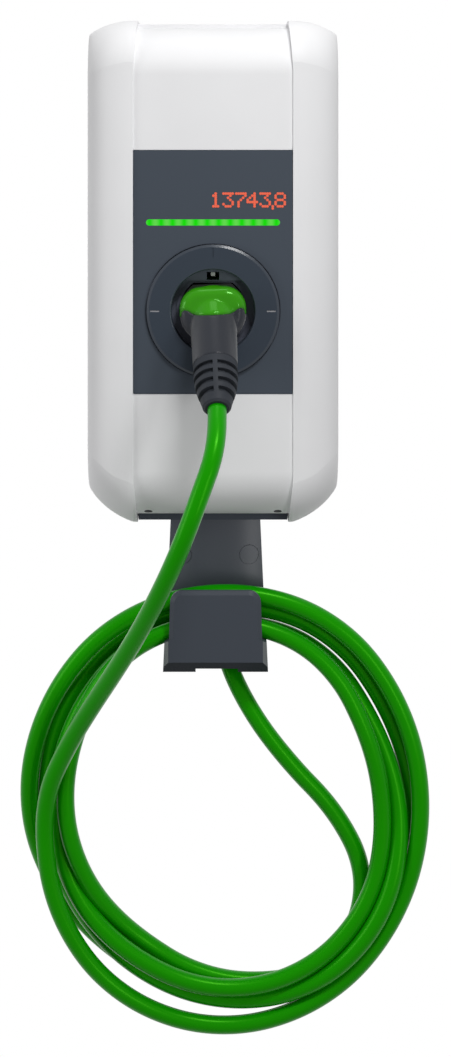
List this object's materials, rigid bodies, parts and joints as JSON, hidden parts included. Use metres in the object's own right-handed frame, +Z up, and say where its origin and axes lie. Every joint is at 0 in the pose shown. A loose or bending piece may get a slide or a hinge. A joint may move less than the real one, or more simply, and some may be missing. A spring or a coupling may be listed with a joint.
{
  "type": "ev wallbox with attached charging cable",
  "caption": "Wall charger for electric cars with a front dock, status light bar, cable holder and an attached charging cable hung in a coil.",
  "frame": {"origin": "middle of the four wall screw holes, on the plane of the wall", "axes": "+X to the right seen from the front, +Y into the wall, +Z up"},
  "size_m": [0.4079, 0.293, 1.0125],
  "materials": {
    "cover_white": "satin moulded white",
    "screw_steel": "plain machine screws",
    "panel_slate": "matt slate",
    "light_green": "lit light guide",
    "board_green": "lacquered circuit board",
    "display_black": "black lamp block",
    "dock_slate": "matt slate",
    "catch_grey": "light grey",
    "shroud_black": "fine textured black",
    "contact_brass": "turned contact sleeves",
    "grip_slate": "fine textured slate",
    "cap_green": "satin green",
    "boot_rubber": "dark moulded rubber",
    "cable_green": "smooth green cable jacket",
    "housing_dark": "fine textured dark slate",
    "seal_rubber": "soft black rubber",
    "module_grey": "moulded grey",
    "guard_clear": "clear touch guard",
    "module_blue": "potted ring, blue",
    "gland_black": "black polyamide"
  },
  "bodies": {
    "root": {"front_cover": "cover_white", "cover_screws": "screw_steel", "front_panel": "panel_slate", "status_light_guide": "light_green", "status_light_board": "board_green", "display_module": "display_black", "dock_ring": "dock_slate", "dock_cup": "dock_slate", "dock_catch": "catch_grey", "cable_riser": "cable_green", "cable_coil": "cable_green", "cable_tail": "cable_green", "base_housing": "housing_dark", "cover_seal": "seal_rubber", "main_board": "board_green", "board_screws": "screw_steel", "contactor": "module_grey", "terminal_block": "module_grey", "terminal_cover": "guard_clear", "current_sensor": "module_blue", "supply_grommet": "seal_rubber", "outlet_gland": "gland_black", "outlet_gland_nut": "gland_black", "holder_body": "housing_dark", "holder_caps": "housing_dark"},
    "connector": {"connector_nose": "shroud_black", "contact_carrier": "shroud_black", "contact_sleeves": "contact_brass", "handle_shell": "grip_slate", "handle_cap": "cap_green", "handle_screws": "screw_steel", "cable_boot": "boot_rubber", "cable_end": "cable_green"}
  },
  "joints": [
    {"name": "connector_pull", "type": "slide", "parent": "root", "child": "connector", "axis": [0, -1, 0], "range_m": [0, 0.05], "deforming": ["cable_riser"]}
  ]
}
